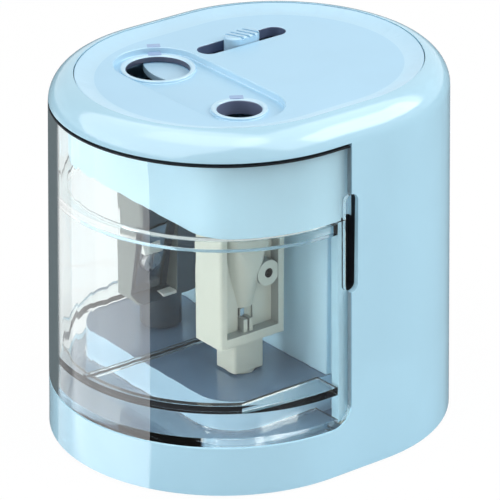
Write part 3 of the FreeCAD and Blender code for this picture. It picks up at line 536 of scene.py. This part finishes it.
def near_groove(middle):
    """True for points of the grooves' walls that a cut may divide."""
    return GROOVE_NEAR < wall_inset(middle) < GROOVE_FAR and beside_groove(middle)


for side in (-1, 1):
    depth = SHELL_RADIUS - SHELL_LOSS * GROOVE_SHARE - GROOVE_LIGHT
    split(housing, (side * depth, 0, 0), (1, 0, 0), near_groove)
for face in housing.data.polygons:
    if in_groove(face):
        face.material_index = 1

# Top plate: an inset plate with a dished border, a recess round the two holes and the slide's slot.
# Satin pale blue moulding, pressed down into the shell's rim.
TOP_BLUE = (0.37, 0.61, 0.78)
top_finish = plastic("top_blue", TOP_BLUE, 0.3, 0.5 * MM, 0.008 * MM, clouding=0.02)
top_plate = moulded("top_plate", top_finish, 0.2 * MM)
PLATE_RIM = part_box("top_plate")[1].z
PLATE_FLAT, RECESS_FLOOR, LIP_TOP = PLATE_RIM - 1.2 * MM, PLATE_RIM - 2.6 * MM, PLATE_RIM - 2.0 * MM
HOLES = ((-CUTTER_X, CUTTER_Y, 6.5 * MM), (CUTTER_X, CUTTER_Y, 4.5 * MM))
LIT_BORDER_FACE, LIT_LIP_FACE, DEEP_SHADE_WALL, SHADED_WALL, SLOT_SHADE_WALL = 1, 2, 3, 4, 5
BORDER_TILT, LEVEL_SLACK, HOLE_SLACK = (0.8, 0.995), 0.05 * MM, 0.15 * MM
# Painted light: the dished border and the recess's walls and lips take paler blues than the plate.
for name, colour in (("top_border_painted_light", (0.44, 0.67, 0.82)), ("lip_painted_light", (0.47, 0.68, 0.81)),
                     ("hole_painted_deep_shade", (0.045, 0.055, 0.1)), ("hole_painted_shade", (0.15, 0.19, 0.3))):
    top_plate.data.materials.append(plastic(name, colour, 0.3, 0.5 * MM, 0.008 * MM, clouding=0.02))
for face in top_plate.data.polygons:
    x, y, z = face.center
    from_hole = min(math.hypot(x - hx, y - hy) - radius for hx, hy, radius in HOLES)
    # Painted shade: the holes' walls take dark blues, darkest in the large hole.
    if abs(face.normal.z) < UPRIGHT and from_hole < HOLE_SLACK:
        face.material_index = DEEP_SHADE_WALL if x < 0 else SHADED_WALL
    elif RECESS_FLOOR + LEVEL_SLACK < z < PLATE_FLAT - LEVEL_SLACK:
        face.material_index = LIT_LIP_FACE
    elif BORDER_TILT[0] < face.normal.z < BORDER_TILT[1]:
        face.material_index = LIT_BORDER_FACE

# Hole marks: small tinted inlays behind each hole, on its lip and at the recess's edge.
# Pressed into shallow seats of the top plate and all turned the same way.
MARK_ANGLE, MARK_TINT = math.radians(148.5), (0.27, 0.4, 0.62)
MARK_LONG, MARK_WIDE, MARK_DEEP, MARK_PROUD = 1.7 * MM, 2.7 * MM, 0.6 * MM, 0.05 * MM
LIP_MARK_OUT, EDGE_MARK_OUT = 1.05 * MM, 3.4 * MM
mark_finish = plastic("mark_tint", MARK_TINT, 0.3, 0.5 * MM, 0.008 * MM, clouding=0.02)
mark_tree = Tree("hole_marks", Size=("Vector", (0.001, 0.0026, 0.0006)), Turn=("Float", 0.0))
given = mark_tree.given
slab = mark_tree.add("GeometryNodeMeshCube", {}, {"Size": given["Size"]})
turned = mark_tree.add("ShaderNodeCombineXYZ", {}, {"Z": given["Turn"]})
copies = mark_tree.add("GeometryNodeInstanceOnPoints", {},
                       {"Points": given["Geometry"], "Instance": slab[0], "Rotation": turned[0]})
mark_tree.finish(copies[0], mark_finish)
mark_points = []
for (hx, hy, radius), out, top in ((HOLES[0], LIP_MARK_OUT, LIP_TOP), (HOLES[1], LIP_MARK_OUT, LIP_TOP),
                                   (HOLES[0], EDGE_MARK_OUT, PLATE_FLAT)):
    reach = radius + out
    mark_points.append((hx + math.cos(MARK_ANGLE) * reach, hy + math.sin(MARK_ANGLE) * reach,
                        top + MARK_PROUD - MARK_DEEP / 2))
marks = mark_tree.grow("hole_marks", mark_points, Size=(MARK_LONG, MARK_WIDE, MARK_DEEP), Turn=MARK_ANGLE)
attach(marks, "housing")

# Selector: a ribbed knob in the slot, the shutter it carries and the switch that it works below.
# Pale blue knob and shutter, the switch in plain grey; the slot's walls and the shutter's part under the
# slot take a dark blue, painted shade.
KNOB_BLUE, SWITCH_GREY, SLOT_PAINTED_SHADE = (0.38, 0.6, 0.76), (0.3, 0.32, 0.35), (0.075, 0.11, 0.2)
knob_finish = plastic("knob_blue", KNOB_BLUE, 0.3, 0.4 * MM, 0.01 * MM)
moulded("selector_knob", knob_finish, 0.12 * MM)
LINK_Y, SLOT_X, SLOT_HALF, SLOT_FRONT = -1.5 * MM, -13.3 * MM, 3.0 * MM, -3.4 * MM
slot_shade_finish = plastic("slot_painted_shade", SLOT_PAINTED_SHADE, 0.4, 0.4 * MM, 0.01 * MM)
top_plate.data.materials.append(slot_shade_finish)
# Painted shade: the slot's walls take the dark blue.
for face in top_plate.data.polygons:
    x, y, z = face.center
    if abs(x - SLOT_X) < SLOT_HALF and y > SLOT_FRONT and abs(face.normal.z) < UPRIGHT:
        face.material_index = SLOT_SHADE_WALL
shutter = moulded("hole_shutter", knob_finish, 0.15 * MM)
shutter.data.materials.append(slot_shade_finish)
split(shutter, (0, LINK_Y, 0), (0, 1, 0), lambda middle: True)
# Painted shade: the shutter's part behind the link line, under the slot, takes the dark blue.
for face in shutter.data.polygons:
    face.material_index = int(face.center.y > LINK_Y)
switch_finish = plastic("switch_grey", SWITCH_GREY, 0.45, 0.3 * MM, 0.05 * MM)
moulded("selector_switch", switch_finish, 0.2 * MM)

# Shavings bin: a clear curved cover with a rim, side ledges, a guide blade and a floor.
# Clear polystyrene, pulled out to the front by its two grips. Where its wall is seen edge-on the shader
# turns dark grey, a painted dark edge.
# The grooves' faces take the near-black groove finish; the ledge ring, the rim's top line, the rim's rear
# end faces and a strip along the top edge take it too, as painted shade and shadow lines; the rear end
# faces take a dark blue, painted shade in the seam.
CLEAR, EDGE_ON_PAINTED_SHADE, SEAM_PAINTED_SHADE = (0.9, 0.935, 0.93, 1.0), (0.12, 0.15, 0.16, 1.0), (0.19, 0.28, 0.34)
EDGE_TILT = 0.84
LEDGE_LOW, LEDGE_DARK, LEDGE_TOP, BLADE_TOP, LEDGE_INSET = (h * MM for h in (17.9, 18.6, 19.65, 20.3, 3.7))
GUIDE_HALF, RING_INSET, SKIN_INSET = 9.0 * MM, 2.2 * MM, 0.2 * MM
RIM_LOW, RIM_SHADOW_LINE, RIM_HIGH, RIM_INSET = 52.5 * MM, 54.55 * MM, 55.5 * MM, 1.7 * MM
BIN_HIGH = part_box("shavings_bin")[1]
TOP_SHADOW_LINE, REAR_LINE, RIM_END_LINE = BIN_HIGH.z - 0.28 * MM, BIN_HIGH.y - 0.1 * MM, BIN_HIGH.y - 4.0 * MM
STEEP, FACING_REAR, FACING_REARWARD = 0.5, 0.9, 0.7
WALL_FACE, PAINTED_DARK_FACE, SEAM_SHADE_FACE = 1, 2, 3


def clear(name, edges):
    """Clear plastic with faint flow lines; with edges, it turns to a dark grey diffuse where it is seen
    along its own wall, a painted dark edge.
    """
    material, shader, first, place = blank(name)
    flow = first.node("TexNoise", {}, {"Vector": place, "Scale": 120.0, "Detail": 2.0})
    (flow * 0.03).into(shader, "Roughness")
    shader.inputs["Base Color"].default_value = CLEAR
    shader.inputs["Transmission Weight"].default_value = 1.0
    shader.inputs["IOR"].default_value = 1.46
    if edges:
        edge_on = first.node("LayerWeight", {}, {"Blend": 0.5}, out="Facing").step(0.66, 0.72)
        outward = first.node("NewGeometry", {}, {}, out="Normal")
        for tilt in (EDGE_TILT, -EDGE_TILT):
            leaning = first.node("VectorMath", {}, {0: outward, 1: (0.0, 0.0, tilt)})
            leaning = first.node("VectorMath", {"operation": "NORMALIZE"}, {0: leaning})
            turned_away = first.node("LayerWeight", {}, {"Blend": 0.5, "Normal": leaning}, out="Facing")
            edge_on = edge_on * turned_away.step(0.44, 0.49)
        rim = first.node("BsdfDiffuse", {}, {"Color": EDGE_ON_PAINTED_SHADE})
        mixed = first.node("MixShader", {}, {0: edge_on, 1: Wire(first.tree, shader.outputs[0]), 2: rim})
        mixed.into(first.tree.nodes["Material Output"], "Surface")
    return material


bin_cover = moulded("shavings_bin", clear("bin_clear", False), 0.12 * MM)
bin_cover.data.materials.append(clear("bin_wall", True))
bin_cover.data.materials.append(groove_finish)
bin_cover.data.materials.append(plastic("bin_seam_painted_shade", SEAM_PAINTED_SHADE, 0.4, 0.5 * MM, 0.01 * MM))
split(bin_cover, (0, 0, TOP_SHADOW_LINE), (0, 0, 1), lambda middle: True)
for height in (LEDGE_DARK, LEDGE_TOP, RIM_SHADOW_LINE):
    split(bin_cover, (0, 0, height), (0, 0, 1), lambda middle: wall_inset(middle) > RING_INSET)
for face in bin_cover.data.polygons:
    x, y, z = face.center
    inset = wall_inset(face.center)
    upright = abs(face.normal.z) < STEEP
    guide = inset > LEDGE_INSET and abs(x) < GUIDE_HALF
    bottom = LEDGE_TOP if guide else LEDGE_LOW if inset < LEDGE_INSET else LEDGE_DARK
    ring = upright and inset > RING_INSET and bottom < z < BLADE_TOP
    rim_shadow_line = upright and inset > LEDGE_INSET and RIM_SHADOW_LINE < z < RIM_HIGH
    rear_edge = face.normal.y > FACING_REAR and y > REAR_LINE
    rim_end = (face.normal.y > FACING_REARWARD and inset > RIM_INSET and RIM_LOW < z < RIM_HIGH and
               y > RIM_END_LINE)
    # Painted shade: the rear end faces take the dark seam blue.
    if rear_edge and not rim_end:
        face.material_index = SEAM_SHADE_FACE
    # Painted shade and shadow lines: ring, rim line, rim ends and top strip go near-black.
    elif ring or rim_end or rim_shadow_line or z > TOP_SHADOW_LINE or in_groove(face):
        face.material_index = PAINTED_DARK_FACE
    elif upright and inset < SKIN_INSET:
        face.material_index = WALL_FACE
bin_cover.visible_shadow = False

# Studio: a pale floor, a white surround, soft boxes left, right and above, and the camera.
# Two large boxes and the card on the floor only give reflections; the floor and the surround are white to
# the camera, and through the clear bin, without lighting the object more.
AZIMUTH, ELEVATION, DISTANCE, LENS = math.radians(52.2), math.radians(24.6), 0.8, 281.95
TARGET = Vector((0.0, 0.0, 35.9 * MM))
TO_CAMERA = Vector((math.sin(AZIMUTH), -math.cos(AZIMUTH), 0.0))
TO_LEFT = Vector((-math.cos(AZIMUTH), -math.sin(AZIMUTH), 0.0))


def around(left, rise, distance):
    """Point at an angle left of the camera, seen from the object, and a rise above the horizon."""
    a, e = math.radians(left), math.radians(rise)
    level = TO_CAMERA * math.cos(a) + TO_LEFT * math.sin(a)
    return TARGET + (level * math.cos(e) + Vector((0, 0, math.sin(e)))) * distance


def softbox(name, left, rise, distance, width, height, radiance, tint):
    """A lit rectangle that faces the object; its power follows from its radiance."""
    lamp = bpy.data.lights.new(name, "AREA")
    lamp.shape, lamp.size, lamp.size_y = "RECTANGLE", width, height
    lamp.energy = radiance * math.pi * width * height
    lamp.color = tint
    box = bpy.data.objects.new(name, lamp)
    box.location = around(left, rise, distance)
    box.rotation_euler = (box.location - TARGET).to_track_quat("Z", "Y").to_euler()
    bpy.context.scene.collection.objects.link(box)
    return box


WHITE, ROSE_WHITE = (1.0, 1.0, 1.0), (1.0, 0.98, 1.0)
key = softbox("key_box", 68, 14, 0.9, 0.2, 0.35, 10.0, WHITE)
key.visible_glossy = False
softbox("right_box", -88, 34, 0.9, 0.65, 0.5, 4.4, WHITE)
softbox("top_box", 40, 74, 0.9, 0.7, 0.6, 2.0, WHITE)
for reflected in (softbox("left_glow", 63, 52, 1.1, 2.2, 2.5, 3.3, ROSE_WHITE),
                  softbox("right_glow", -78, 50, 1.0, 1.5, 1.1, 3.0, WHITE)):
    reflected.visible_diffuse = reflected.visible_transmission = False

SPAN, FLOOR_WHITE, FLOOR_DIM = 6.0, 0.97, 0.15
floor_mesh = bpy.data.meshes.new("floor")
floor_corners = [(-SPAN, -SPAN, 0), (SPAN, -SPAN, 0), (SPAN, SPAN, 0), (-SPAN, SPAN, 0)]
floor_mesh.from_pydata(floor_corners, [], [(0, 1, 2, 3)])
floor = bpy.data.objects.new("floor", floor_mesh)
bpy.context.scene.collection.objects.link(floor)
paper, shader, first, place = blank("floor_paper")
shader.inputs["Base Color"].default_value = (0.85, 0.85, 0.86, 1)
shader.inputs["Roughness"].default_value = 0.9
seen = first.node("LightPath", {}, {}, out="Is Camera Ray")
gloss = first.node("LightPath", {}, {}, out="Is Glossy Ray")
through = first.node("LightPath", {}, {}, out="Is Transmission Ray")
white = first.node("Emission", {}, {"Color": (1, 1, 1, 1), "Strength": 1.0})
direct = 1 - first.node("LightPath", {}, {}, out="Diffuse Depth").step(0.4, 0.6)
bright = first.node("MixShader", {}, {0: seen.maths("MAXIMUM", seen, through) * direct * FLOOR_WHITE,
                                      1: Wire(first.tree, shader.outputs[0]), 2: white})
dim = first.node("Emission", {}, {"Color": (1, 1, 1, 1), "Strength": FLOOR_DIM})
above = first.node("MixShader", {}, {0: gloss * (1 - through) * direct, 1: bright, 2: dim})
below = first.node("NewGeometry", {}, {}, out="Backfacing")
first.node("MixShader", {}, {0: below, 1: above, 2: first.node("BsdfTransparent", {}, {})}).into(
    first.tree.nodes["Material Output"], "Surface")
floor_mesh.materials.append(paper)

CARD_STRENGTH, CARD_HEIGHT = 4.6, 0.1 * MM
card_mesh = bpy.data.meshes.new("bounce_card")
card_points = [(17, -39), (38.6, -311), (-220, -311), (3.8, -42.6), (-323, -186), (-4.2, -42.6),
               (-360, -54), (-10.9, -41.4)]
card_mesh.from_pydata([(x * MM, y * MM, CARD_HEIGHT) for x, y in card_points], [],
                      [(0, 1, 2, 3), (3, 2, 4, 5), (5, 4, 6, 7)])
fade = card_mesh.attributes.new("fade", "FLOAT", "POINT")
fade.data.foreach_set("value", (1.0, 1.0, 0.75, 0.75, 0.25, 0.25, 0.2, 0.2))
card = bpy.data.objects.new("bounce_card", card_mesh)
bpy.context.scene.collection.objects.link(card)
card_white, shader, first, place = blank("card_white")
level = first.node("Attribute", {"attribute_name": "fade"}, {}, out="Fac")
lit = first.node("Emission", {}, {"Color": level.blend((0, 0, 0, 1), (1, 1, 1, 1)),
                                  "Strength": CARD_STRENGTH})
lit.into(first.tree.nodes["Material Output"], "Surface")
card_mesh.materials.append(card_white)
card.visible_camera = card.visible_diffuse = card.visible_transmission = card.visible_shadow = False

world = bpy.data.worlds.new("studio")
bpy.context.scene.world = world
world.use_nodes = True
first = Wire(world.node_tree)
seen = first.node("LightPath", {}, {}, out="Is Camera Ray")
gloss = first.node("LightPath", {}, {}, out="Is Glossy Ray")
through = first.node("LightPath", {}, {}, out="Is Transmission Ray")
direct = 1 - first.node("LightPath", {}, {}, out="Diffuse Depth").step(0.4, 0.6)
shown = seen.maths("MAXIMUM", seen.maths("MAXIMUM", seen, gloss), through) * direct
AMBIENT = 0.52
(shown * (1 - AMBIENT) + AMBIENT).into(world.node_tree.nodes["Background"], "Strength")
world.node_tree.nodes["Background"].inputs["Color"].default_value = (1, 1, 1, 1)

camera = bpy.data.cameras.new("camera")
camera.lens, camera.sensor_width = LENS, 36.0
eye = bpy.data.objects.new("camera", camera)
eye.location = around(0, math.degrees(ELEVATION), DISTANCE)
eye.rotation_euler = (eye.location - TARGET).to_track_quat("Z", "Y").to_euler()
bpy.context.scene.collection.objects.link(eye)
bpy.context.scene.camera = eye
bpy.context.scene.view_settings.view_transform = "Standard"
